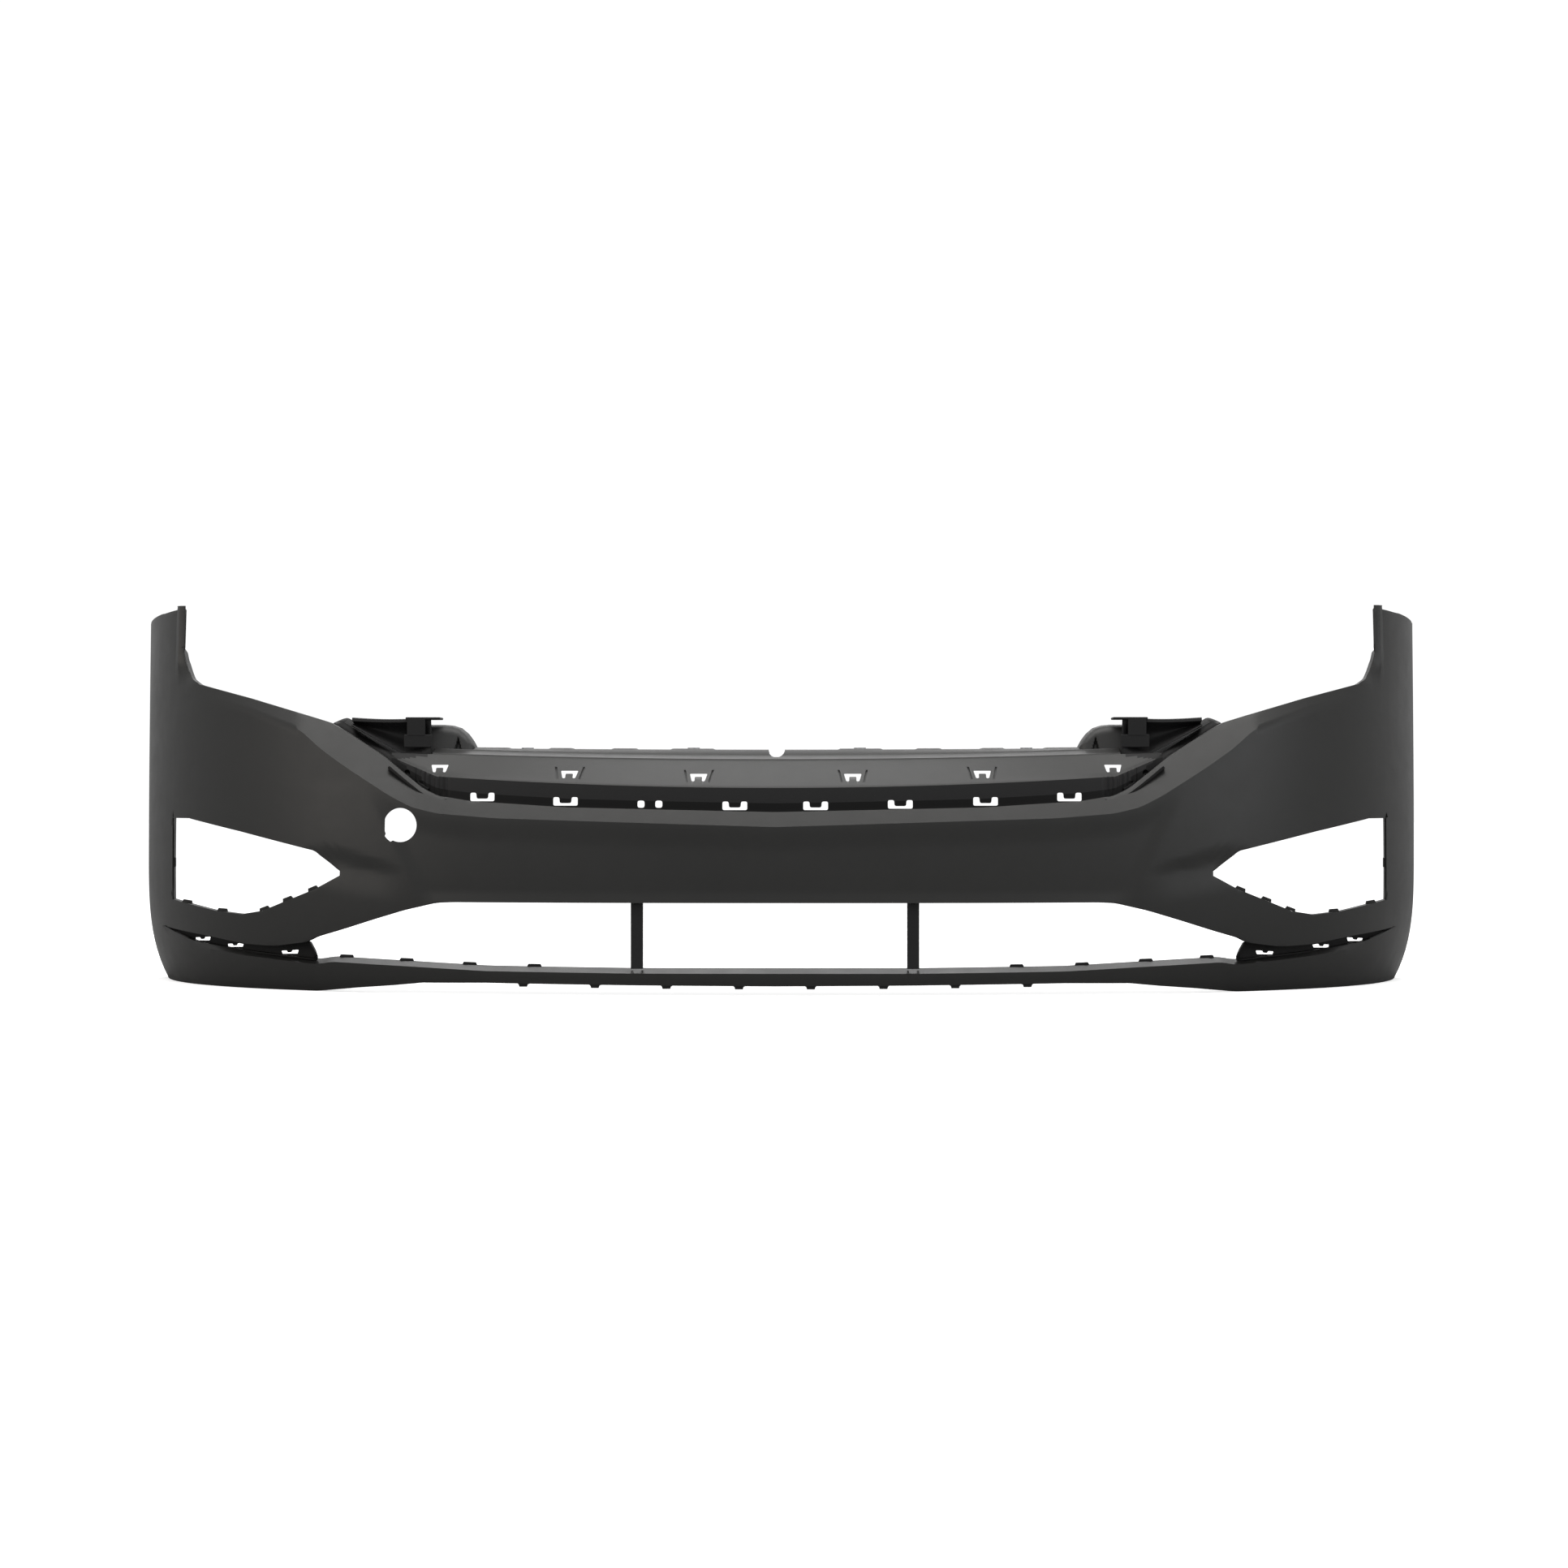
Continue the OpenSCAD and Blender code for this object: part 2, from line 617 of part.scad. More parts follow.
module right_fog_catches() {
    color(grey) {
        for (x = [604, 640, 674, 738, 796] * kx) {
            z = height_on(fog_under, x);
            slope = atan((height_on(fog_under, x + 4) - height_on(fog_under, x - 4)) / 8);
            translate([x, skin_y(x, z) + flange_d / 2, z + clear]) rotate([0, -slope, 0])
                catch_block(14, 4, 6);
        }
        z = 165 * kz;
        x = side_x;
        translate([x - clear, skin_y(x, z) + flange_d / 2, z]) rotate([0, -90, 0]) catch_block(15, 3, 6);
    }
}

module lip_catches() {
    color(grey) both_sides() for (x = [311, 396, 480, 562] * kx) {
        z = height_on(lip_top, x);
        slope = atan((height_on(lip_top, x + 9) - height_on(lip_top, x - 9)) / 18);
        translate([x, skin_y(x, z) + flange_d / 2, z + clear]) rotate([0, -slope, 0])
            catch_block(18, 3.5, 8);
    }
}

// Spring nut: clip round a flange of the skin's wall, with a threaded boss below it.
// The flange lies in the XY plane round Z = 0 and the clip slides on from +Y over its edge.
module spring_nut(edge, boss_h) {
    gap = wall + 2 * clear;
    front = -6;
    difference() {
        union() {
            for (z = [gap / 2, -gap / 2 - nut_t])
                translate([-nut_w / 2, front, z]) cube([nut_w, edge - front + clear + nut_t, nut_t]);
            translate([-nut_w / 2, edge + clear, -gap / 2 - eps]) cube([nut_w, nut_t, gap + 2 * eps]);
            translate([0, 0, -gap / 2 - nut_t - boss_h]) cylinder(r = nut_boss_r, h = boss_h + eps);
        }
        cylinder(r = nut_r, h = far, center = true);
    }
}

module undertray_nuts() {
    color(steel) both_sides() for (x = tab_xs)
        at_tab(x) translate([0, 0, wall / 2]) spring_nut(flange_d - tab_hole_back + 1, 3);
}

module right_arch_nuts() {
    color(steel) for (angle = arch_nut_angles)
        at_arch(angle) rotate([-90, 0, 0]) rotate(90) spring_nut(arch_nut_edge(angle), nut_boss_h);
}

module left_side_rail() { mirror([1, 0, 0]) right_side_rail(); }
module left_headlamp_support() { mirror([1, 0, 0]) right_headlamp_support(); }
module left_lamp_bracket() { mirror([1, 0, 0]) right_lamp_bracket(); }
module left_lamp_cap() { mirror([1, 0, 0]) right_lamp_cap(); }
module left_tie_strut() { mirror([1, 0, 0]) right_tie_strut(); }
module left_trim_channel() { mirror([1, 0, 0]) right_trim_channel(); }
module left_fog_catches() { mirror([1, 0, 0]) right_fog_catches(); }
module left_arch_nuts() { mirror([1, 0, 0]) right_arch_nuts(); }

fascia_skin();
grille_shelf();
mounting_flange();
bolt_sleeves();
shelf_rivets();
left_side_rail();
right_side_rail();
left_headlamp_support();
right_headlamp_support();
left_lamp_bracket();
right_lamp_bracket();
left_lamp_cap();
right_lamp_cap();
left_tie_strut();
right_tie_strut();
strut_rivets();
left_trim_channel();
right_trim_channel();
left_fog_catches();
right_fog_catches();
lip_catches();
undertray_nuts();
left_arch_nuts();
right_arch_nuts();
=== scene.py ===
"""Bare front bumper cover: camera, light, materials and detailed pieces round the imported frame.

Sizes are in millimetres inside the shape functions and in metres in every Blender object.
-Y is the front, +X the right seen from the front, +Z up.
"""
import math

import bmesh
import bpy
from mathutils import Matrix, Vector
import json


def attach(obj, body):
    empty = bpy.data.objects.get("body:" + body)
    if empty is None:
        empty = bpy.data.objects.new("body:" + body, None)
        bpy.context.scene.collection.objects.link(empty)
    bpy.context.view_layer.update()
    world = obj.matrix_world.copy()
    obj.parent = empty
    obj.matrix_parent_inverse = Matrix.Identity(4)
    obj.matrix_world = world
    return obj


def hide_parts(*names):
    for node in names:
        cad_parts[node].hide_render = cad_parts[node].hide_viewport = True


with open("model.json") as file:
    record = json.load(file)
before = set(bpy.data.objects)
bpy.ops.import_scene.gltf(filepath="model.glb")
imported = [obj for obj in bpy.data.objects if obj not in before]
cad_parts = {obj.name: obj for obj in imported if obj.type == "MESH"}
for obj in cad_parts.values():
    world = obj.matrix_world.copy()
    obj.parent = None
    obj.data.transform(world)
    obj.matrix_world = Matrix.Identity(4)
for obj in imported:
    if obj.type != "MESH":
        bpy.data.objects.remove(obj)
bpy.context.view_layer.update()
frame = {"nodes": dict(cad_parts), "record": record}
MM = 0.001

# ---------------------------------------------------------------- shape of the skin
HALF_W = 897
TOP_Z = 513.9
DEPTH = 592
# Power of the curve that the face follows in plan, and the depth of that curve's centre
PLAN_N = 2.6
PLAN_B = DEPTH + 8
# Height where the face stands furthest forward
NOSE_Z = 150
FLANGE = 16
# Inner and outer ends of the fog opening, and the inner side of the upright wing tip
NOSE_X = 567
SIDE_X = 821
HORN_X = 803
TIP_Z = 514
# Wheel arch: depth and height of its centre, and its radius; above the seam the rear edge is straight
ARCH = (803, 140, 370)
SEAM_Z = 405
# Top edge of the fog opening at the wing's side, and height where the lip's gap closes
FOG_Z = 225
GAP_Z = 77
# Share of the side at which the gap between wing and lip has closed
GAP_SHARE = 0.165
LEDGE = 5.6
TOW_X, TOW_Z, TOW_R, TOW_FLAT = -485, 218, 22, 20.5

# Wall thickness of each kind of moulding
SKIN_WALL = 2.8
CARRIER_WALL = 2.4
RAIL_WALL = 2.2
CHANNEL_WALL = 2
CAP_WALL = 1.6

UPPER = [(0, 235), (267, 241), (393, 249), (436, 256), (457, 266), (479, 282), (511, 307), (556, 335),
         (584, 351), (620, 362), (700, 385), (778, 405), (792, 414), (800, 430), (803, 450)]
CREASE = [(0, 216), (360, 227), (436, 233), (470, 241), (500, 256), (560, 293), (594, 316), (625, 342),
          (700, 371), (778, 392), (803, 405)]
GRILLE_TOP = [(0, 119), (414, 119), (436, 118), (479, 108), (522, 95), (566, 81), (607, 69)]
WING_LOW = GRILLE_TOP[:-1] + [(600, 71), (611, 65), (661, 58), (707, 60), (758, 68), (839, 77)]
LIP_TOP = [(0, 34), (182, 34), (372, 36), (479, 41), (579, 45), (600, 41), (635, 44), (707, 50),
           (785, 60), (839, 77)]
LIP_LOW = [(0, 12), (182, 13), (372, 15), (457, 14), (496, 10), (544, 6), (600, 0), (836, 0)]
FOG_TOP = [(567, 158), (602, 184), (708, 208), (792, 225), (821, 225)]
FOG_LOW = [(567, 152), (601, 134), (647, 116), (677, 104), (707, 99), (745, 102), (792, 110), (821, 115)]


def height(points, x):
    """Height of a line of points at a distance from the middle."""
    x = abs(x)
    for (x0, z0), (x1, z1) in zip(points, points[1:]):
        if x <= x1 or (x1, z1) == points[-1]:
            return z0 + (z1 - z0) * (x - x0) / (x1 - x0)


def eased(points, x, reach=7):
    """The same, with its corners rounded off over a short reach."""
    x = abs(x)
    reach = min(reach, max(0.01, x - points[0][0] if points[0][0] else reach), max(0.01, points[-1][0] - x))
    return sum(height(points, x + reach * k / 3) for k in range(-3, 4)) / 7


def ramp(value, low, high):
    """A smooth rise from 0 to 1 between two values."""
    t = min(1, max(0, (value - low) / (high - low)))
    return t * t * (3 - 2 * t)


def lean(z):
    """How far the face leans back above and below its nose, on the middle line."""
    if z > NOSE_Z:
        return 25 * ((z - NOSE_Z) / 200) ** 1.6
    return 20 * ((NOSE_Z - max(z, 0)) / NOSE_Z) ** 2


def half_at(z):
    """Half width of the skin at a height."""
    return HALF_W - 27 * max(0, 1 - max(z, 0) / 180) ** 3.5


def skin_d(x, z, inset=0):
    """Depth of the plain face at a place, or of a face set in from it."""
    front = lean(z) + inset
    r = min(1, abs(x) / (half_at(z) - inset))
    return PLAN_B - (PLAN_B - front) * (1 - r ** PLAN_N) ** (1 / PLAN_N)


def skin_x(d, z, inset=0):
    """Distance of the plain face from the middle at a depth."""
    front = lean(z) + inset
    r = min(1, (PLAN_B - d) / (PLAN_B - front))
    return (half_at(z) - inset) * (1 - r ** PLAN_N) ** (1 / PLAN_N)


def y_of(d):
    """Depth behind the foremost point, turned into Y."""
    return d - DEPTH / 2


def relief(x, z):
    """How far the styling of the face sets it back behind the plain curve."""
    x = abs(x)
    back = 0
    # Chamfer between the crease and the upper edge
    crease, top = eased(CREASE, min(x, 802)), eased(UPPER, min(x, 802))
    if z > crease:
        back += 0.62 * min(z - crease, top - crease) * (1 - ramp(x, 690, 800))
    # Turned edge down the inside of the wing tip
    back += max(0, 815 - x) * 1.1 * ramp(z, SEAM_Z, 440) * ramp(x, 780, 800)
    # Ledge along the top of the lip
    lip_top = eased(LIP_TOP, min(x, 838))
    if lip_top - LEDGE < z < min(lip_top + 0.01, GAP_Z - 2):
        back += 20 * (z - lip_top + LEDGE) / LEDGE * (1 - ramp(x, 640, 815))
    # Middle of the beam, let in a little between its slanting ends
    end = 448 + (z - 119) * 0.5
    if z > 100:
        back += (3.8 * (1 - ramp(x, end - 12, end + 12)) * ramp(z, 112, 135)
                 * (1 - ramp(z, crease - 34, crease)))
    # Crease that runs inwards from over the nose of the fog opening, with a shallow hollow under it
    under = 184 + (x - 590) * 0.215 - z
    back += (4.5 * ramp(under, -3, 6) * (1 - ramp(under, 8, 52)) * ramp(x, 470, 530)
             * (1 - ramp(x, 575, 610)))
    return back


def lift(x, z):
    """A point of the outer face, in metres."""
    side = 1 if x > 0 else -1
    inside = max(0, min(1, (SIDE_X - abs(x)) / 18))
    wide = x + side * 4.5 * ramp(z, 412, 450) * inside * ramp(abs(x), 785, HORN_X)
    return (wide * MM, (y_of(skin_d(x, z)) + relief(x, z)) * MM, z * MM)


def steps(low, high, count):
    """Evenly spaced values from one end to the other."""
    return [low + (high - low) * i / count for i in range(count + 1)]


ROWS_LOW, ROWS_UP, ROWS_CHAMFER, ROWS_TIP, ROWS_FOG = 10, 16, 4, 10, 14


def beam_column(x):
    low, crease, top = eased(GRILLE_TOP, x), eased(CREASE, x), eased(UPPER, x)
    nose_low, nose_top = FOG_LOW[0][1], FOG_TOP[0][1]
    return (steps(low, nose_low, ROWS_LOW) + steps(nose_top, crease, ROWS_UP)
            + steps(crease, top, ROWS_CHAMFER)[1:])


def over_column(x):
    low, crease = height(FOG_TOP, x), eased(CREASE, min(x, HORN_X))
    top = eased(UPPER, min(x, HORN_X), 3)
    column = steps(low, crease, ROWS_UP) + steps(crease, top, ROWS_CHAMFER)[1:]
    if x >= HORN_X:
        column += steps(top, TIP_Z, ROWS_TIP)[1:]
    return column


def lip_column(x):
    low, top = height(LIP_LOW, x), eased(LIP_TOP, x)
    return steps(low, top - LEDGE, 5) + steps(top - LEDGE, top, 2)[1:]


def under_column(x):
    return steps(eased(WING_LOW, x, 4), height(FOG_LOW, x), ROWS_LOW)


def arch_end(z):
    """Depth of the rear edge at a height: wheel arch, then the seam up to the wing tip."""
    if z < SEAM_Z:
        return ARCH[0] - math.sqrt(ARCH[2] ** 2 - (z - ARCH[1]) ** 2)
    return min(DEPTH, 545 + 47 * (z - SEAM_Z) / 95)


class Sheet:
    """A mesh built from columns of points that share their ends with the next sheet."""

    def __init__(self):
        self.points = []
        self.faces = []

    def add(self, columns, skip=None):
        first = len(self.points)
        rows = len(columns[0])
        for column in columns:
            self.points += column
        for i in range(len(columns) - 1):
            for j in range(rows - 1):
                if skip and skip(i, j):
                    continue
                a = first + i * rows + j
                self.faces.append((a, a + rows, a + rows + 1, a + 1))

    def mesh(self, name):
        mesh = bpy.data.meshes.new(name)
        mesh.from_pydata(self.points, [], self.faces)
        piece = bpy.data.objects.new(name, mesh)
        bpy.context.collection.objects.link(piece)
        return piece


def select_only(piece):
    bpy.ops.object.select_all(action="DESELECT")
    piece.select_set(True)
    bpy.context.view_layer.objects.active = piece


def apply_all(piece):
    select_only(piece)
    for modifier in list(piece.modifiers):
        bpy.ops.object.modifier_apply(modifier=modifier.name)


def thicken(piece, wall, offset):
    """Gives a sheet its wall: behind its face with offset -1, to both sides with 0."""
    solid = piece.modifiers.new("wall", "SOLIDIFY")
    solid.thickness = wall * MM
    solid.offset = offset
    apply_all(piece)


def smooth(piece, degrees=32):
    select_only(piece)
    bpy.ops.object.shade_smooth_by_angle(angle=math.radians(degrees))


def side_columns():
    """The wing's side, from the fog opening back to the wheel arch."""
    lip = lip_column(SIDE_X)
    under = under_column(SIDE_X)
    fog = steps(under[-1], FOG_Z, ROWS_FOG)[1:-1]
    over = over_column(SIDE_X)
    first = lip + under + fog + over
    shares = [0, 0.04, 0.08, 0.12] + [GAP_SHARE + (1 - GAP_SHARE) * i / 30 for i in range(31)]
    columns = []
    for share in shares:
        column = []
        for j, z0 in enumerate(first):
            z = z0
            start = skin_d(SIDE_X, z0)
            d = start
            for _ in range(4):
                d = start + (arch_end(z) - start) * share
                top = TIP_Z - 17 * min(1, max(0, d - 255) / 195)
                z = z0 if z0 < FOG_Z else FOG_Z + (z0 - FOG_Z) * (top - FOG_Z) / (TIP_Z - FOG_Z)
            if j in (len(lip) - 1, len(lip)):
                z = z0 + (GAP_Z - z0) * min(1, share / GAP_SHARE)
            x = SIDE_X if share == 0 else skin_x(d, z)
            column.append((x * MM, y_of(d) * MM, z * MM))
        columns.append(column)
    return columns, len(lip) - 1


MIDDLE_OF_BEAM = Vector((0, y_of(10) * MM, 0.17))


def build_skin():
    """The whole skin from its blocks of columns, with folded edges and a wall."""
    sheet = Sheet()
    sheet.add([[lift(x, z) for z in beam_column(x)] for x in steps(-NOSE_X, NOSE_X, 250)])
    sheet.add([[lift(x, z) for z in lip_column(x)] for x in steps(-SIDE_X, SIDE_X, 300)])
    over_xs = steps(NOSE_X, 770, 44) + steps(770, HORN_X, 22)[1:]
    side, gap_row = side_columns()
    for s in (-1, 1):
        def turn(column):
            return [(s * x, y, z) for x, y, z in column]
        over = [[lift(x, z) for z in over_column(x)[:ROWS_UP + ROWS_CHAMFER + 1]] for x in over_xs]
        horn = [[lift(x, z) for z in over_column(x)] for x in steps(HORN_X, SIDE_X, 9)]
        under = [[lift(x, z) for z in under_column(x)] for x in steps(NOSE_X, SIDE_X, 60)]
        for block in (over, horn, under):
            sheet.add([turn(c) for c in block])
        sheet.add([turn(c) for c in side], lambda i, j: j == gap_row and i < 4)
    piece = sheet.mesh("bumper_skin")
    bm = bmesh.new()
    bm.from_mesh(piece.data)
    bmesh.ops.remove_doubles(bm, verts=bm.verts, dist=0.00004)
    bmesh.ops.dissolve_degenerate(bm, edges=bm.edges, dist=0.00002)
    bmesh.ops.recalc_face_normals(bm, faces=bm.faces)
    middle = min(bm.faces, key=lambda f: (f.calc_center_median() - MIDDLE_OF_BEAM).length)
    if middle.normal.y > 0:
        bmesh.ops.reverse_faces(bm, faces=bm.faces)
    fold_edges(bm)
    bm.to_mesh(piece.data)
    bm.free()
    thicken(piece, SKIN_WALL, -1)
    for v in piece.data.vertices:
        v.co.x = max(-HALF_W * MM, min(HALF_W * MM, v.co.x))
        v.co.z = max(0, min(TOP_Z * MM, v.co.z))
    return piece


def fold_edges(bm):
    """Folds every open edge back into a flange with a rounded corner."""
    edges = [e for e in bm.edges if e.is_boundary]
    made = bmesh.ops.extrude_edge_only(bm, edges=edges)
    for v in [g for g in made["geom"] if isinstance(g, bmesh.types.BMVert)]:
        x, y, z = (c / MM for c in v.co)
        side = 1 if x > 0 else -1
        d = y + DEPTH / 2
        if d > 0.97 * arch_end(z) and abs(x) > SIDE_X:
            v.co.x -= side * 22 * MM
        elif z > 496 and abs(x) > SIDE_X - 1:
            v.co.x -= side * 9 * MM
            v.co.z -= 2 * MM
        elif z > 455:
            v.co.y += 14 * MM
            v.co.x += side * 4 * MM
        else:
            deep = min(26, max(12, skin_d(x, z, FLANGE) - skin_d(x, z)))
            v.co.y += deep * MM
            if abs(x) < 540 and z > 200:
                v.co.z -= 4.5 * MM * (1 - ramp(abs(x), 430, 500))
    bmesh.ops.bevel(bm, geom=edges, offset=1.7 * MM, segments=3, profile=0.5, affect="EDGES")


def closed(name, points, faces):
    """A closed mesh object with its faces turned outwards."""
    mesh = bpy.data.meshes.new(name)
    mesh.from_pydata(points, [], faces)
    piece = bpy.data.objects.new(name, mesh)
    bpy.context.collection.objects.link(piece)
    bm = bmesh.new()
    bm.from_mesh(mesh)
    bmesh.ops.recalc_face_normals(bm, faces=bm.faces)
    bm.to_mesh(mesh)
    bm.free()
    return piece


def face_up(piece):
    """Turns the faces of a sheet the same way, with the outer side up."""
    bm = bmesh.new()
    bm.from_mesh(piece.data)
    bmesh.ops.recalc_face_normals(bm, faces=bm.faces)
    if sum(f.normal.z for f in bm.faces) < 0:
        bmesh.ops.reverse_faces(bm, faces=bm.faces)
    bm.to_mesh(piece.data)
    bm.free()


def prism(name, outline, d0, d1):
    """A closed outline in the front view, pushed from one depth to another."""
    n = len(outline)
    points = [(x * MM, y_of(d) * MM, z * MM) for d in (d0, d1) for x, z in outline]
    faces = [tuple(range(n)), tuple(range(2 * n - 1, n - 1, -1))]
    faces += [(i, (i + 1) % n, n + (i + 1) % n, n + i) for i in range(n)]
    return closed(name, points, faces)


def cut(piece, cutters):
    """Cuts the cutters out of a piece and removes them."""
    tool = join(cutters, "cutter") if len(cutters) > 1 else cutters[0]
    modifier = piece.modifiers.new("cut", "BOOLEAN")
    modifier.object = tool
    modifier.operation = "DIFFERENCE"
    modifier.solver = "EXACT"
    apply_all(piece)
    bpy.data.objects.remove(tool)


def join(pieces, name):
    """Joins pieces into one object."""
    bpy.ops.object.select_all(action="DESELECT")
    for p in pieces:
        p.select_set(True)
    bpy.context.view_layer.objects.active = pieces[0]
    bpy.ops.object.join()
    pieces[0].name = name
    return pieces[0]


def box_between(name, x0, x1, d0, d1, z0, z1, bevel):
    """A block with softened edges."""
    piece = prism(name, [(x0, z0), (x1, z0), (x1, z1), (x0, z1)], d0, d1)
    soften(piece, bevel)
    return piece


def soften(piece, width):
    """Rounds the sharp edges of a block."""
    modifier = piece.modifiers.new("soft edges", "BEVEL")
    modifier.width = width * MM
    modifier.segments = 2
    modifier.limit_method = "ANGLE"
    modifier.angle_limit = math.radians(40)
    apply_all(piece)


def wedge(name, x, z, slope, width, tall, d0, d1):
    """A small catch that stands on a sloping edge and narrows upwards."""
    foot, head = width / 2, width / 2 - 1.6
    outline = [(-foot, -1), (foot, -1), (foot, 0.4), (head, tall), (-head, tall), (-foot, 0.4)]
    turn = [(x + a - b * slope, z + b + a * slope) for a, b in outline]
    return prism(name, turn, d0, d1)


def rounded(points, radius):
    """A closed outline with its corners cut back to short arcs."""
    out = []
    n = len(points)
    for i in range(n):
        before, here, after = (Vector(points[(i + k) % n]) for k in (-1, 0, 1))
        a, b = before - here, after - here
        cut_back = min(radius, a.length / 2.2, b.length / 2.2)
        start, end = here + a.normalized() * cut_back, here + b.normalized() * cut_back
        for t in (0, 0.33, 0.67, 1):
            p = start * (1 - t) ** 2 + here * 2 * t * (1 - t) + end * t ** 2
            out.append((p.x, p.y))
    return out


def tow_outline():
    """Round, flatter towards the wing, with a small notch at the lower left."""
    outline = []
    for i in range(72):
        a = 2 * math.pi * i / 72
        x, z = max(TOW_R * math.cos(a), -TOW_FLAT), TOW_R * math.sin(a)
        if 3.75 < a < 4.2:
            x, z = x * 1.13, z * 1.13
        outline.append((TOW_X + x, TOW_Z + z))
    return outline


# ---------------------------------------------------------------- materials
def moulded_group():
    """Shared surface of a moulding: cloudy colour, grain, uneven sheen and a little dust."""
    group = bpy.data.node_groups.new("moulded surface", "ShaderNodeTree")
    for name, kind, value in (("Colour", "NodeSocketColor", (0.03, 0.03, 0.03, 1)),
                              ("Clouding", "NodeSocketFloat", 0.12), ("Grain Scale", "NodeSocketFloat", 900),
                              ("Grain Depth", "NodeSocketFloat", 0.2), ("Roughness", "NodeSocketFloat", 0.5),
                              ("Dust", "NodeSocketFloat", 0.05)):
        socket = group.interface.new_socket(name, in_out="INPUT", socket_type=kind)
        socket.default_value = value
    for name, kind in (("Colour", "NodeSocketColor"), ("Roughness", "NodeSocketFloat"),
                       ("Normal", "NodeSocketVector")):
        group.interface.new_socket(name, in_out="OUTPUT", socket_type=kind)
    nodes, links = group.nodes, group.links
    inside = nodes.new("NodeGroupInput")
    out = nodes.new("NodeGroupOutput")
    place = nodes.new("ShaderNodeTexCoord")

    def noise(scale, detail, rough=0.5):
        node = nodes.new("ShaderNodeTexNoise")
        node.inputs["Detail"].default_value = detail
        node.inputs["Roughness"].default_value = rough
        if scale:
            node.inputs["Scale"].default_value = scale
        links.new(place.outputs["Object"], node.inputs["Vector"])
        return node

    def math_node(op, a, b):
        node = nodes.new("ShaderNodeMath")
        node.operation = op
        for socket, value in zip(node.inputs, (a, b)):
            if isinstance(value, (int, float)):
                socket.default_value = value
            else:
                links.new(value, socket)
        return node.outputs[0]

    broad, middle, streak = noise(3.5, 3), noise(38, 4), noise(260, 3, 0.7)
    grain = noise(0, 2, 0.6)
    links.new(inside.outputs["Grain Scale"], grain.inputs["Scale"])
    cloud = math_node("ADD", math_node("MULTIPLY", broad.outputs["Fac"], 0.6),
                      math_node("MULTIPLY", middle.outputs["Fac"], 0.4))
    swing = math_node("MULTIPLY", math_node("SUBTRACT", cloud, 0.5), inside.outputs["Clouding"])
    shade = math_node("ADD", math_node("MULTIPLY", swing, 4), 1)
    scale = nodes.new("ShaderNodeVectorMath")
    scale.operation = "SCALE"
    links.new(inside.outputs["Colour"], scale.inputs[0])
    links.new(shade, scale.inputs["Scale"])
    speck = nodes.new("ShaderNodeMapRange")
    speck.inputs["From Min"].default_value = 0.62
    speck.inputs["From Max"].default_value = 0.8
    links.new(streak.outputs["Fac"], speck.inputs["Value"])
    facing = nodes.new("ShaderNodeNewGeometry")
    up = nodes.new("ShaderNodeSeparateXYZ")
    links.new(facing.outputs["Normal"], up.inputs[0])
    level = math_node("MAXIMUM", up.outputs["Z"], 0.0)
    dust = math_node("MULTIPLY", math_node("ADD", math_node("MULTIPLY", level, 0.8), speck.outputs[0]),
                     inside.outputs["Dust"])
    mix = nodes.new("ShaderNodeMix")
    mix.data_type = "RGBA"
    links.new(dust, mix.inputs["Factor"])
    links.new(scale.outputs[0], mix.inputs["A"])
    mix.inputs["B"].default_value = (0.22, 0.21, 0.2, 1)
    links.new(mix.outputs["Result"], out.inputs["Colour"])
    rough = math_node("ADD", math_node("MULTIPLY", math_node("SUBTRACT", cloud, 0.5), 0.25),
                      inside.outputs["Roughness"])
    rough = math_node("ADD", rough, math_node("MULTIPLY", dust, 0.8))
    links.new(rough, out.inputs["Roughness"])
    bump = nodes.new("ShaderNodeBump")
    bump.inputs["Distance"].default_value = 0.0002
    links.new(inside.outputs["Grain Depth"], bump.inputs["Strength"])
    links.new(grain.outputs["Fac"], bump.inputs["Height"])
    wave = nodes.new("ShaderNodeBump")
    wave.inputs["Distance"].default_value = 0.0011
    wave.inputs["Strength"].default_value = 0.16
    links.new(middle.outputs["Fac"], wave.inputs["Height"])
    links.new(bump.outputs["Normal"], wave.inputs["Normal"])
    links.new(wave.outputs["Normal"], out.inputs["Normal"])
    return group


def material(name, group, colour, clouding, grain_scale, grain_depth, roughness, dust, metal=0.0,
             specular=0.5):
    """A moulding or plating, with the shared surface feeding its shader."""
    mat = bpy.data.materials.new(name)
    mat.use_nodes = True
    nodes, links = mat.node_tree.nodes, mat.node_tree.links
    shader = nodes["Principled BSDF"]
    surface = nodes.new("ShaderNodeGroup")
    surface.node_tree = group
    surface.inputs["Colour"].default_value = (*colour, 1)
    surface.inputs["Clouding"].default_value = clouding
    surface.inputs["Grain Scale"].default_value = grain_scale
    surface.inputs["Grain Depth"].default_value = grain_depth
    surface.inputs["Roughness"].default_value = roughness
    surface.inputs["Dust"].default_value = dust
    links.new(surface.outputs["Colour"], shader.inputs["Base Color"])
    links.new(surface.outputs["Roughness"], shader.inputs["Roughness"])
    links.new(surface.outputs["Normal"], shader.inputs["Normal"])
    shader.inputs["Metallic"].default_value = metal
    shader.inputs["Specular IOR Level"].default_value = specular
    return mat


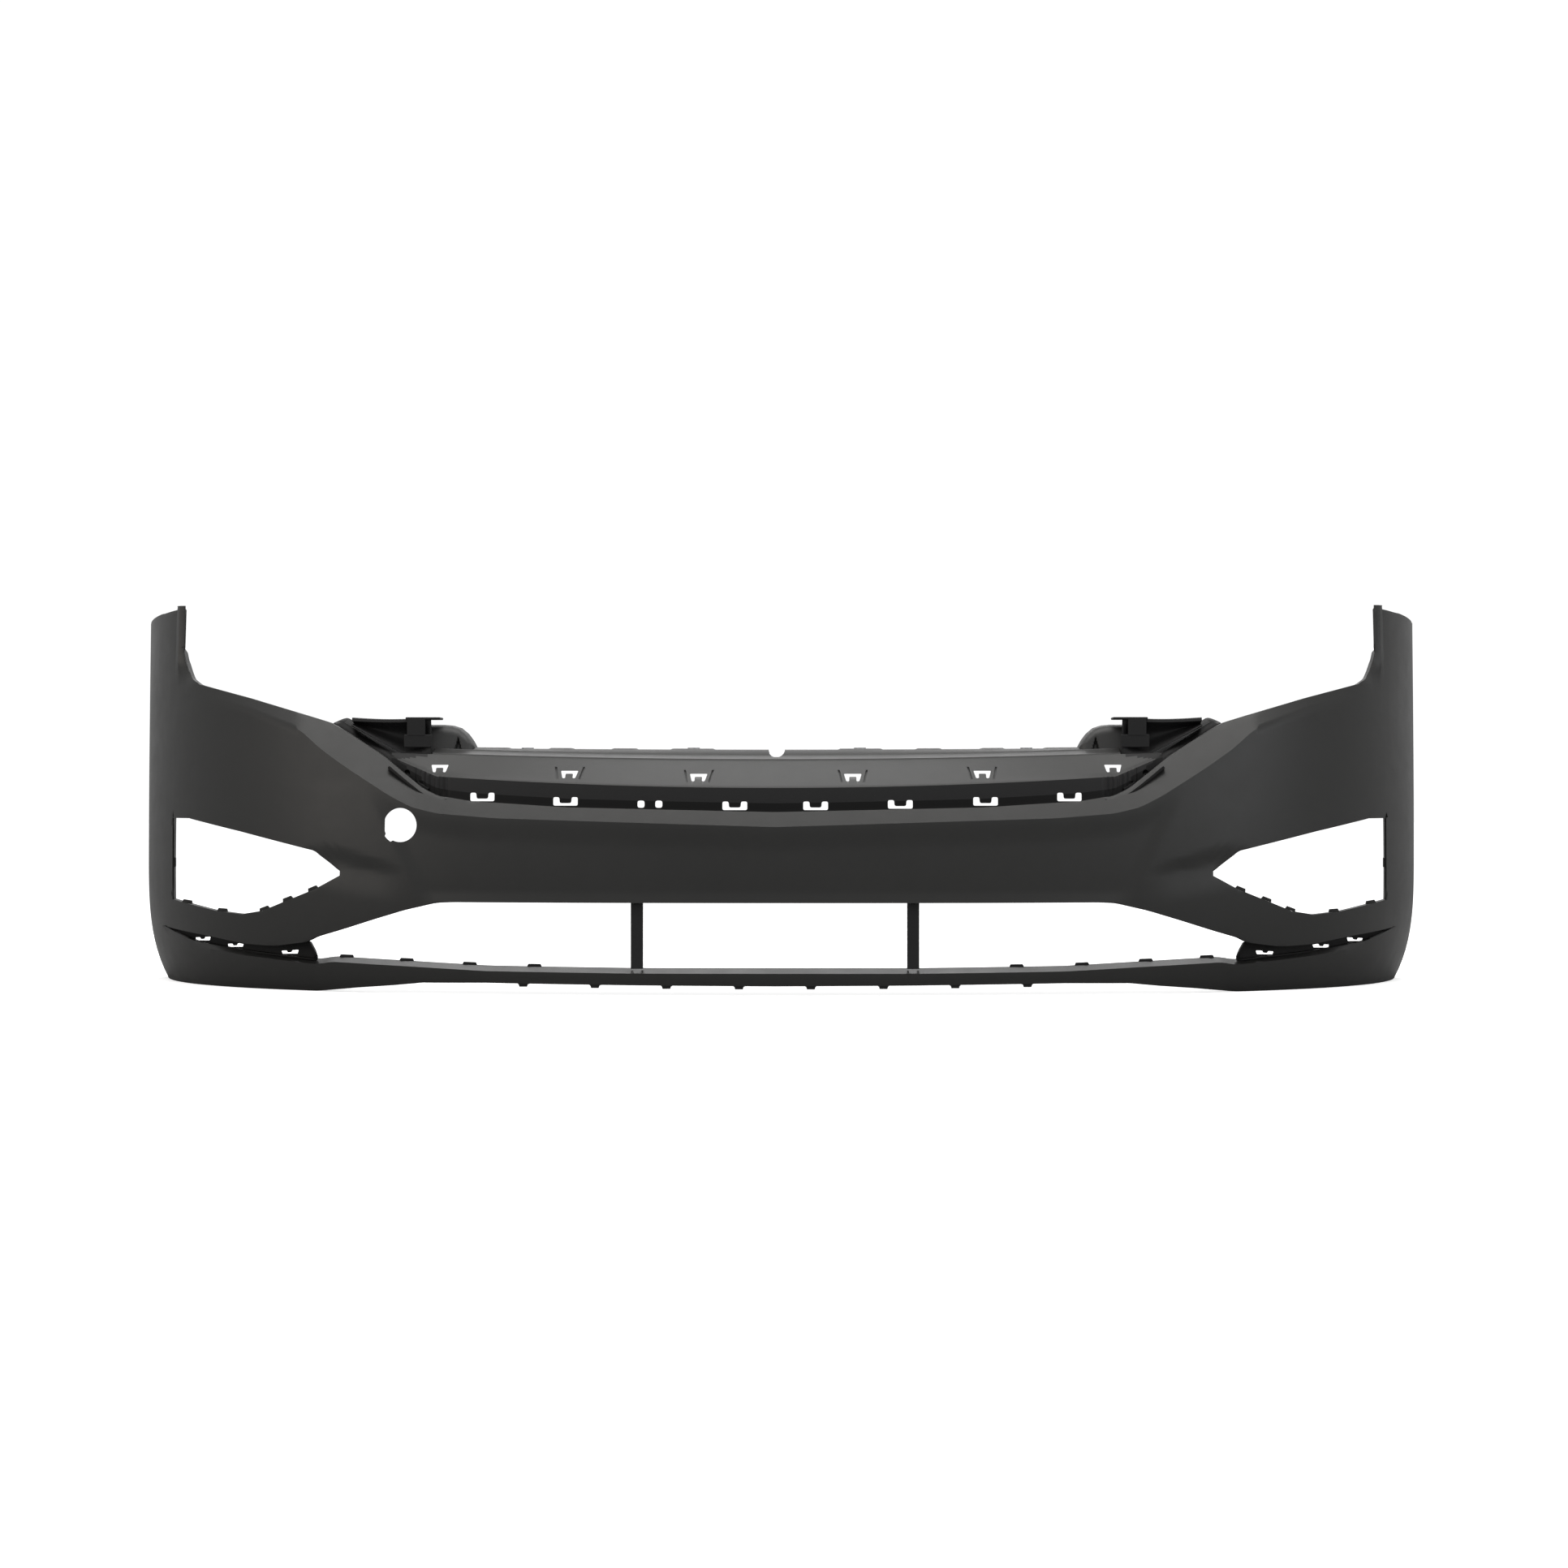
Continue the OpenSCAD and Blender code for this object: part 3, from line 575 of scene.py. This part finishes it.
surface = moulded_group()
PRIMER = material("satin grey primer", surface, (0.0185, 0.0185, 0.0178), 0.10, 2600, 0.25, 0.40, 0.015,
                  specular=0.42)
CARRIER = material("grained black moulding", surface, (0.0105, 0.0105, 0.011), 0.12, 1300, 0.6, 0.55, 0.03,
                   specular=0.35)
# Painted light: a lightened copy of the black carrier, standing in for the light from above on faces that
# look up. Used on the shelf's sloped panel, the mounting rail and the lamp caps.
CARRIER_PAINTED_LIT = material("black moulding painted lighter as if lit from above", surface, (0.031, 0.031, 0.0305), 0.10, 1300, 0.4, 0.46, 0.03)
NYLON_AND_PAINTED_SHADE = material("black nylon and painted shade", surface, (0.004, 0.004, 0.004), 0.08, 700, 0.3, 0.5, 0.012, specular=0.2)
ZINC = material("dull zinc plating", surface, (0.42, 0.43, 0.44), 0.2, 420, 0.35, 0.42, 0.04, metal=1.0)

SLOT_MATERIAL = {"primed_skin": PRIMER, "black_carrier": CARRIER, "black_rivet": NYLON_AND_PAINTED_SHADE, "plated_steel": ZINC}
for entry in frame["record"]["subparts"]:
    node = frame["nodes"][entry["node"]]
    node.data.materials.clear()
    node.data.materials.append(SLOT_MATERIAL[entry["material_slot"]])


def finish_piece(piece, mat, nodes):
    """Gives a piece its material and body, and hides the nodes it stands in for."""
    piece.data.materials.clear()
    piece.data.materials.append(mat)
    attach(piece, "root")
    if nodes:
        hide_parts(*nodes)


# ---------------------------------------------------------------- pieces
skin = build_skin()
cut(skin, [prism("tow hole", tow_outline(), -30, 140)])
smooth(skin)
finish_piece(skin, PRIMER, ["fascia_skin"])

# Catches behind the ledge of the lip, and tabs under it
catches = []
for s in (-1, 1):
    for x in (311, 396, 480, 562):
        z = eased(LIP_TOP, x)
        slope = (eased(LIP_TOP, x + 9) - eased(LIP_TOP, x - 9)) / 18
        d = skin_d(x, z) + 24
        catches.append(wedge("catch", s * x, z - 0.5, s * slope, 19, 4, d, d + 6))
lip_catches = join(catches, "lip_catches_detail")
soften(lip_catches, 0.5)
finish_piece(lip_catches, CARRIER, ["lip_catches"])

tabs = []
for s in (-1, 1):
    for x in (46, 139, 231, 324):
        z = height(LIP_LOW, x)
        d = skin_d(x, z)
        tabs.append(prism("tab", [(s * (x - 6.5), z + 1), (s * (x + 6.5), z + 1), (s * (x + 5), z - 4.2),
                                  (s * (x - 5), z - 4.2)], d + 2.6, d + 5))
lip_tabs = join(tabs, "lip_tabs")
soften(lip_tabs, 0.5)
finish_piece(lip_tabs, CARRIER, [])

# Push rivets that hold the shelf to the beam's folded edge
RIVET_BACK = 17
rivets = []
for s in (-1, 1):
    for x in (65, 215, 325, 425):
        z = height(UPPER, x) - 3.4
        at = (s * x * MM, (y_of(skin_d(x, z)) + RIVET_BACK) * MM, z * MM)
        bpy.ops.mesh.primitive_cylinder_add(radius=5.4 * MM, depth=1.5 * MM, vertices=32, location=at)
        head = bpy.context.active_object
        bpy.ops.object.transform_apply(location=True)
        soften(head, 0.5)
        bpy.ops.mesh.primitive_cylinder_add(radius=3 * MM, depth=9 * MM, vertices=24,
                                            location=(at[0], at[1], at[2] - 4.5 * MM))
        bpy.ops.object.transform_apply(location=True)
        rivets += [head, bpy.context.active_object]
shelf_rivets = join(rivets, "shelf_rivets_detail")
smooth(shelf_rivets)
finish_piece(shelf_rivets, NYLON_AND_PAINTED_SHADE, ["shelf_rivets"])

# ---------------------------------------------------------------- grille shelf
SHELF_END = 503
# Depth of the crease between the sloped panel and the mounting rail
CREASE_D = 118
# Mounting rail: half its length, its bolt places along X, and where the bolts stand, in metres
RAIL_END = 450
BOLT_X = (-330, -110, 110, 330)
BOLT_Y, BOLT_Z = -0.122, 0.318
SLEEVE_R = 5.7
NOTCH_R, NOTCH_Z = 11, 317


def shelf_edge(x):
    """Height of the beam's upper edge, which the shelf follows."""
    return eased(UPPER, x)


def shelf_wall_top(x):
    """Height where the shelf's wall turns into its sloped panel."""
    x = abs(x)
    top = max(268 + 12 * (x / 396) ** 2, shelf_edge(x) + 4)
    return max(top, 283 + max(0, x - 442) * 0.42) if x > 442 else top


def shelf_crease(x):
    """Height where the sloped panel meets the mounting rail."""
    return max(302 + 6 * (x / 390) ** 2, shelf_wall_top(x) + 3)


def shelf_foot_d(x):
    """Depth of the foot of the shelf's wall."""
    return skin_d(x, shelf_edge(x)) + 36


def shelf_profile(x):
    """Depth and height from the ledge behind the beam, up the wall and the sloped panel."""
    edge, foot = shelf_edge(x), shelf_foot_d(x)
    under = edge - 5
    top, crease = shelf_wall_top(x), shelf_crease(x)
    back = min(foot + 4, CREASE_D - 6)
    rib = 0
    if 424 < abs(x) < 470:
        rib = 0.9 * math.sin((abs(x) - 424) * 2 * math.pi / 6.5)
    line = [(foot - 24, under - 2), (foot - 10, under - 1), (foot - 1, under), (foot, under + 2)]
    line += [(foot + (back - foot) * t + rib, under + 3 + (top - under - 5) * t)
             for t in (0.2, 0.4, 0.6, 0.8, 1)]
    line += [(back + 1.5, top - 0.7), (back + 4, top + 0.6)]
    line += [(back + 4 + (CREASE_D - 0.5 - back - 4) * t, top + 0.6 + (crease - top - 0.6) * t)
             for t in (0.2, 0.4, 0.6, 0.8, 1)]
    return line


def panel_d(x, z):
    """Depth of the sloped panel at a height."""
    back = min(shelf_foot_d(x) + 4, CREASE_D - 6) + 4
    top, crease = shelf_wall_top(x) + 0.6, shelf_crease(x)
    return back + (CREASE_D - 0.5 - back) * (z - top) / (crease - top)


def groove(x, z0, z1, lean_x, wide):
    """Cutter for a groove that runs up the panel and leans sideways."""
    ring = [(x - wide / 2, z0), (x + wide / 2, z0), (x + wide / 2 + lean_x, z1), (x - wide / 2 + lean_x, z1)]
    points = []
    for up in (2.5, -2.1):
        points += [(a * MM, y_of(panel_d(a, b)) * MM, (b + up) * MM) for a, b in ring]
    faces = [(0, 1, 2, 3), (7, 6, 5, 4)]
    faces += [(i, i + 4, (i + 1) % 4 + 4, (i + 1) % 4) for i in range(4)]
    return closed("groove", points, faces)


def edge_holes(s):
    """Cutters for the two small holes beside the lower end of each diagonal edge."""
    oval = [(s * (481 + 4.2 * math.cos(t * math.pi / 12)), 284.6 + 5.2 * math.sin(t * math.pi / 12))
            for t in range(24)]
    comma = rounded([(s * 472, 274), (s * 459, 275), (s * 458, 266), (s * 463, 265), (s * 466, 271)], 2)
    return [prism("hole", ring, 60, CREASE_D + 10) for ring in (oval, comma)]


def build_shelf():
    fine = steps(-SHELF_END, -420, 55)[:-1] + steps(-420, 420, 240) + steps(420, SHELF_END, 55)[1:]
    sheet = Sheet()
    sheet.add([[(x * MM, y_of(d) * MM, z * MM) for d, z in shelf_profile(x)] for x in fine])
    piece = sheet.mesh("grille_shelf_detail")
    face_up(piece)
    thicken(piece, CARRIER_WALL, -1)
    cutters = []
    u_slot = [(-16, 5.5), (-8, 5.5), (-7.4, -2.2), (7.4, -2.2), (8, 5.5), (16, 5.5), (16, -5.5), (-16, -5.5)]
    for x in (-380, -271, -52, 52, 161, 271, 380):
        z = 242.7 + 11.5 * (x / 380) ** 2
        d = shelf_foot_d(x)
        cutters.append(prism("slot", [(x + a, z + b) for a, b in rounded(u_slot, 2.4)], d - 9, d + 18))
    for x in (-173, -150):
        d = shelf_foot_d(x)
        ring = rounded([(x - 4.6, 240.4), (x + 4.6, 240.4), (x + 4.6, 249.6), (x - 4.6, 249.6)], 3)
        cutters.append(prism("hole", ring, d - 9, d + 18))
    tongue = [(-11.5, 4.8), (11.5, 4.8), (8.5, -4.8), (4.6, -4.8), (4.6, 1), (-4.6, 1), (-4.6, -4.8),
              (-8.5, -4.8)]
    for x in (-438.6, -268, -100, 100, 268, 438.6):
        z = 278.7 + 12.5 * (x / 438.6) ** 2
        d = shelf_foot_d(x)
        z = max(z, shelf_wall_top(x) + 5.5)
        outline = [(x + a, z + b) for a, b in rounded(tongue, 1.4)]
        cutters.append(prism("slot", outline, d - 2, CREASE_D + 6))
        if abs(x) < 400:
            for s in (-1, 1):
                cutters.append(groove(x + s * 14.5, z - 6, z + 10, s * 3.8, 2.8))
    for s in (-1, 1):
        cutters += edge_holes(s)
    cut(piece, cutters)
    smooth(piece, 28)
    return piece


shelf = build_shelf()
# The shelf gets the carrier painted lighter for the light from above. The faces below carry the real black
# and a painted near-black shade.
finish_piece(shelf, CARRIER_PAINTED_LIT, ["grille_shelf"])
shelf.data.materials.append(CARRIER)
shelf.data.materials.append(NYLON_AND_PAINTED_SHADE)
# Painted shade: the carrier is painted near black behind the beam's edge, where shade falls between beam and
# wall. It is black, its own colour, up its wall and at the ends of its panel, and the rest of the panel
# keeps the copy painted lighter for the light from above.
for face in shelf.data.polygons:
    x, z = face.center.x / MM, face.center.z / MM
    if z < shelf_edge(x) + 9:
        # painted shade, near black, behind the beam's edge
        face.material_index = 2
    elif abs(face.normal.z) < 0.45 and z < shelf_wall_top(x) + 1:
        face.material_index = 1
    elif z > 309.5 - (abs(x) - 445) / 8 > 300 and (abs(x) > 445 or z < shelf_wall_top(x) + 1):
        face.material_index = 1


def rail_base(x):
    """Height of the rail's level face, which rises a little towards its ends."""
    return 316.4 + 1.3 * (x / 330) ** 2


def rail_rear(x):
    """Height of the rail's rear edge, with the low pads along it."""
    pads = sum(ramp(abs(x), a - 2, a + 1) - ramp(abs(x), b - 1, b + 2)
               for a, b in ((83, 138), (185, 216), (270, 299), (354, 400)))
    return rail_base(x) + 1.3 * pads


def build_rail():
    """Rail behind the shelf: a bead along the crease, a sloped face and the level flange."""
    sheet = Sheet()
    columns = []
    for x in steps(-RAIL_END, RAIL_END, 450):
        front, rear = shelf_crease(x), rail_rear(x)
        base = rail_base(x)
        line = [(CREASE_D - 0.3, front - 0.6), (CREASE_D + 1, front + 1.6), (CREASE_D + 5, front + 2.6),
                (CREASE_D + 7, front + 1.6), (CREASE_D + 12, front + 3.4), (CREASE_D + 24, front + 6.6),
                (CREASE_D + 26, front + 8.2), (CREASE_D + 36, base - 1.6), (158, base), (161, rear),
                (188, rear), (190, rear - 3)]
        columns.append([(x * MM, y_of(d) * MM, z * MM) for d, z in line])
    sheet.add(columns)
    piece = sheet.mesh("mounting_rail_detail")
    face_up(piece)
    thicken(piece, CARRIER_WALL, -1)
    circle = [(NOTCH_R * math.cos(a * math.pi / 20), NOTCH_Z + NOTCH_R * math.sin(a * math.pi / 20))
              for a in range(40)]
    cutters = [prism("notch", circle, 134, 205)]
    for x in BOLT_X:
        bpy.ops.mesh.primitive_cylinder_add(radius=SLEEVE_R * MM, depth=0.04, vertices=32,
                                            location=(x * MM, BOLT_Y, BOLT_Z))
        bpy.ops.object.transform_apply(location=True)
        cutters.append(bpy.context.active_object)
    cut(piece, cutters)
    smooth(piece, 30)
    return piece


rail = build_rail()
# The rail gets the carrier painted lighter for the light from above.
finish_piece(rail, CARRIER_PAINTED_LIT, ["mounting_flange"])


def build_side_rail(s):
    """Dark rail along the diagonal edge, from its pointed end down to the shelf."""
    sheet = Sheet()
    columns = []
    for x in steps(584, 452, 60):
        z = eased(UPPER, x)
        rise = (eased(UPPER, x + 4) - eased(UPPER, x - 4)) / 8
        length = math.hypot(1, rise)
        nx, nz = -rise / length, 1 / length
        high = 14 * ramp(x, 588, 573) if x > 573 else 14
        high = min(high, 5 + 9 * ramp(x, 446, 480))
        d = skin_d(x, z) + 17 + relief(x, z)
        line = [(-3, 0), (0.5, 0.5), (high * 0.4, 5), (high * 0.45, 6.5), (high * 0.5, 6.8), (high - 1, 18),
                (high, 21)]
        columns.append([(s * (x + nx * up) * MM, y_of(d + back) * MM, (z + nz * up) * MM)
                        for up, back in line])
    sheet.add(columns)
    piece = sheet.mesh("side_rail_detail")
    thicken(piece, RAIL_WALL, 0)
    smooth(piece, 35)
    return piece


def build_channel(s):
    """Recess behind the gap between wing and lip, closed at both ends, with clip slots in its back."""
    sheet = Sheet()
    columns = []
    for x in steps(601, 838, 100):
        high, low = eased(WING_LOW, x, 4) - 0.3, eased(LIP_TOP, x) - 0.2
        if x < 612:
            high = min(high, 45 + (x - 600) * 1.75)
        low = min(low, high - 0.6)
        d = skin_d(x, (high + low) / 2)
        deep = 17 * (1 - ramp(x, 770, 838)) * ramp(x, 597, 606) + 3
        line = [(6, high), (deep, high - 0.4), (deep + 1.5, high - 1.2), (deep + 2, (high + low) / 2),
                (deep + 1.5, low + 1), (deep, low + 0.3), (min(deep, 14), low)]
        columns.append([(s * x * MM, y_of(d + back) * MM, z * MM) for back, z in line])
    sheet.add(columns)
    piece = sheet.mesh("trim_channel_detail")
    thicken(piece, CHANNEL_WALL, 0)
    cutters = []
    shape = [(-12.5, 2.4), (-3, 1.6), (-2.2, -1), (3.5, -1.6), (4.5, 1), (12.5, 0.4), (11, -3.4),
             (-11, -2.6)]
    for x, z in ((774, 63.5), (722, 57), (641, 50.5)):
        d = skin_d(x, z)
        cutters.append(prism("slot", [(s * (x + a), z + b) for a, b in rounded(shape, 1.2)], d + 2, d + 60))
    cut(piece, cutters)
    smooth(piece, 35)
    return piece


# ---------------------------------------------------------------- headlamp supports
def build_support(s):
    """Funnel-shaped hollow under the headlamp, with a level rim round its top."""
    sheet = Sheet()
    columns = []
    for x in steps(557, 453, 34):
        top = 357 - 2.2 * math.sin(math.pi * (557 - x) / 103)
        low = max(309, 347.5 - (557 - x) * 0.56)
        column = [(x, 158, top + 0.3), (x, 131, top + 0.3), (x, 128.6, top - 0.4), (x, 128, top - 2.4)]
        for i in range(1, 15):
            t = i / 14
            hollow = 21 * math.sin(math.pi * min(1, t * 1.08)) ** 0.8 * ramp(x, 452, 476)
            column.append((x, 128 + hollow - 4 * t, top - 2.4 + (low - top + 2.4) * t))
        columns.append([(s * a * MM, y_of(d) * MM, z * MM) for a, d, z in column])
    sheet.add(columns)
    piece = sheet.mesh("headlamp_support_detail")
    thicken(piece, CARRIER_WALL, 0)
    smooth(piece, 40)
    return piece


CAP = [(398, 317), (400, 322), (404, 329), (410, 337), (419, 344.5), (429, 347.6), (440, 348.6),
       (458, 348.6)]


def build_cap(s):
    """Rounded cap at the end of the support, with a tapered groove up its front."""
    sheet = Sheet()
    columns = []
    for x in steps(398.2, 457.6, 48):
        top = height(CAP, x)
        column = []
        for z in steps(315.5 if x < 451 else 308, top, 26):
            edge = min(top - z, (x - 398) * 0.9 + 0.2) if x < 440 else top - z
            round_off = 12 * (1 - math.sqrt(max(0, 1 - (1 - min(1, edge / 12)) ** 2)))
            slope = (458 - x) * 0.12 + (z - 316) * 0.22
            dent = 7 * ramp(4.6 * (1 - (z - 316) / 17) - abs(x - 420), -0.8, 1.2) if z < 333 else 0
            column.append((x, 144 + round_off + slope + dent, z))
        column += [(x, 170, top + 0.1), (x, 190, top + 0.1)]
        columns.append([(s * a * MM, y_of(d) * MM, b * MM) for a, d, b in column])
    sheet.add(columns)
    piece = sheet.mesh("lamp_cap_detail")
    thicken(piece, CAP_WALL, 0)
    smooth(piece, 40)
    return piece


def build_bracket(s):
    """Upright block on the support with a plate over its top."""
    block = box_between("block", *sorted((s * 460, s * 484)), 121, 127.5, 334, 356.6, 1.0)
    plate = box_between("plate", *sorted((s * 440.5, s * 486)), 121, 160, 355.4, 358.6, 1.2)
    lower = box_between("foot", *sorted((s * 451, s * 488)), 121.5, 125.5, 319, 336, 1.0)
    return join([block, plate, lower], "lamp_bracket_detail")


# The trim channel is the same primed moulding as the skin, and its near-black nylon is painted shade for the
# shadow in its recess. The lamp caps get the carrier painted lighter for the light from above.
for side_name, s in (("left", -1), ("right", 1)):
    for build, mat, what in ((build_support, CARRIER, "headlamp_support"), (build_cap, CARRIER_PAINTED_LIT, "lamp_cap"),
                             (build_side_rail, NYLON_AND_PAINTED_SHADE, "side_rail"), (build_channel, NYLON_AND_PAINTED_SHADE, "trim_channel"),
                             (build_bracket, CARRIER, "lamp_bracket")):
        piece = build(s)
        piece.name = f"{side_name}_{what}_detail"
        finish_piece(piece, mat, [f"{side_name}_{what}"])


# ---------------------------------------------------------------- camera, light and floor
def area(name, at, to, size, energy, colour):
    """A rectangular light that looks at a point."""
    data = bpy.data.lights.new(name, "AREA")
    data.shape = "RECTANGLE"
    data.size, data.size_y = size
    data.energy = energy
    data.color = colour
    lamp = bpy.data.objects.new(name, data)
    bpy.context.collection.objects.link(lamp)
    lamp.location = at
    lamp.rotation_euler = (Vector(to) - Vector(at)).to_track_quat("-Z", "Y").to_euler()


camera_data = bpy.data.cameras.new("camera")
camera_data.lens = 80.2
camera_data.sensor_width = 36
camera = bpy.data.objects.new("camera", camera_data)
bpy.context.collection.objects.link(camera)
camera.location = (0.0734, -4.746, 0.271)
camera.rotation_euler = (math.radians(90), 0, 0.01381)
bpy.context.scene.camera = camera

bpy.ops.mesh.primitive_plane_add(size=40, location=(0, 0, 0))
floor = bpy.context.active_object
floor.name = "floor"
floor_mat = bpy.data.materials.new("white paper")
floor_mat.use_nodes = True
nodes, links = floor_mat.node_tree.nodes, floor_mat.node_tree.links
shader = nodes["Principled BSDF"]
shader.inputs["Roughness"].default_value = 0.8
shader.inputs["Specular IOR Level"].default_value = 0.1
shader.inputs["Emission Color"].default_value = (1, 1, 1, 1)
# Brighter to the camera than to the cover, so that the floor lights its underside less
path = nodes.new("ShaderNodeLightPath")
white = nodes.new("ShaderNodeMapRange")
white.inputs["To Min"].default_value = 0.42
white.inputs["To Max"].default_value = 0.93
glow = nodes.new("ShaderNodeMath")
glow.operation = "MULTIPLY"
glow.inputs[1].default_value = 0.6
links.new(path.outputs["Is Camera Ray"], white.inputs["Value"])
links.new(path.outputs["Is Camera Ray"], glow.inputs[0])
links.new(white.outputs[0], shader.inputs["Base Color"])
links.new(glow.outputs[0], shader.inputs["Emission Strength"])
floor.data.materials.append(floor_mat)

area("key above", (0, -0.5, 3.0), (0, 0, 0.2), (3.4, 1.4), 50, (1, 0.99, 0.97))
area("fill left", (-3.4, -2.4, 1.4), (-0.5, 0, 0.3), (1.2, 1.6), 17, (1, 0.92, 0.84))
area("fill right", (3.4, -2.2, 1.4), (0.6, 0, 0.3), (1.2, 1.6), 15, (0.96, 0.98, 1))
area("back", (0, 2.6, 2.4), (0, 0.2, 0.3), (3.5, 1.0), 30, (1, 1, 1))

world = bpy.data.worlds.new("white studio")
world.use_nodes = True
nodes, links = world.node_tree.nodes, world.node_tree.links
background = nodes["Background"]
path = nodes.new("ShaderNodeLightPath")
strength = nodes.new("ShaderNodeMapRange")
strength.inputs["To Min"].default_value = 0.58
strength.inputs["To Max"].default_value = 1.05
links.new(path.outputs["Is Camera Ray"], strength.inputs["Value"])
links.new(strength.outputs[0], background.inputs["Strength"])
background.inputs["Color"].default_value = (1, 1, 1, 1)
bpy.context.scene.world = world
bpy.context.scene.view_settings.view_transform = "Standard"
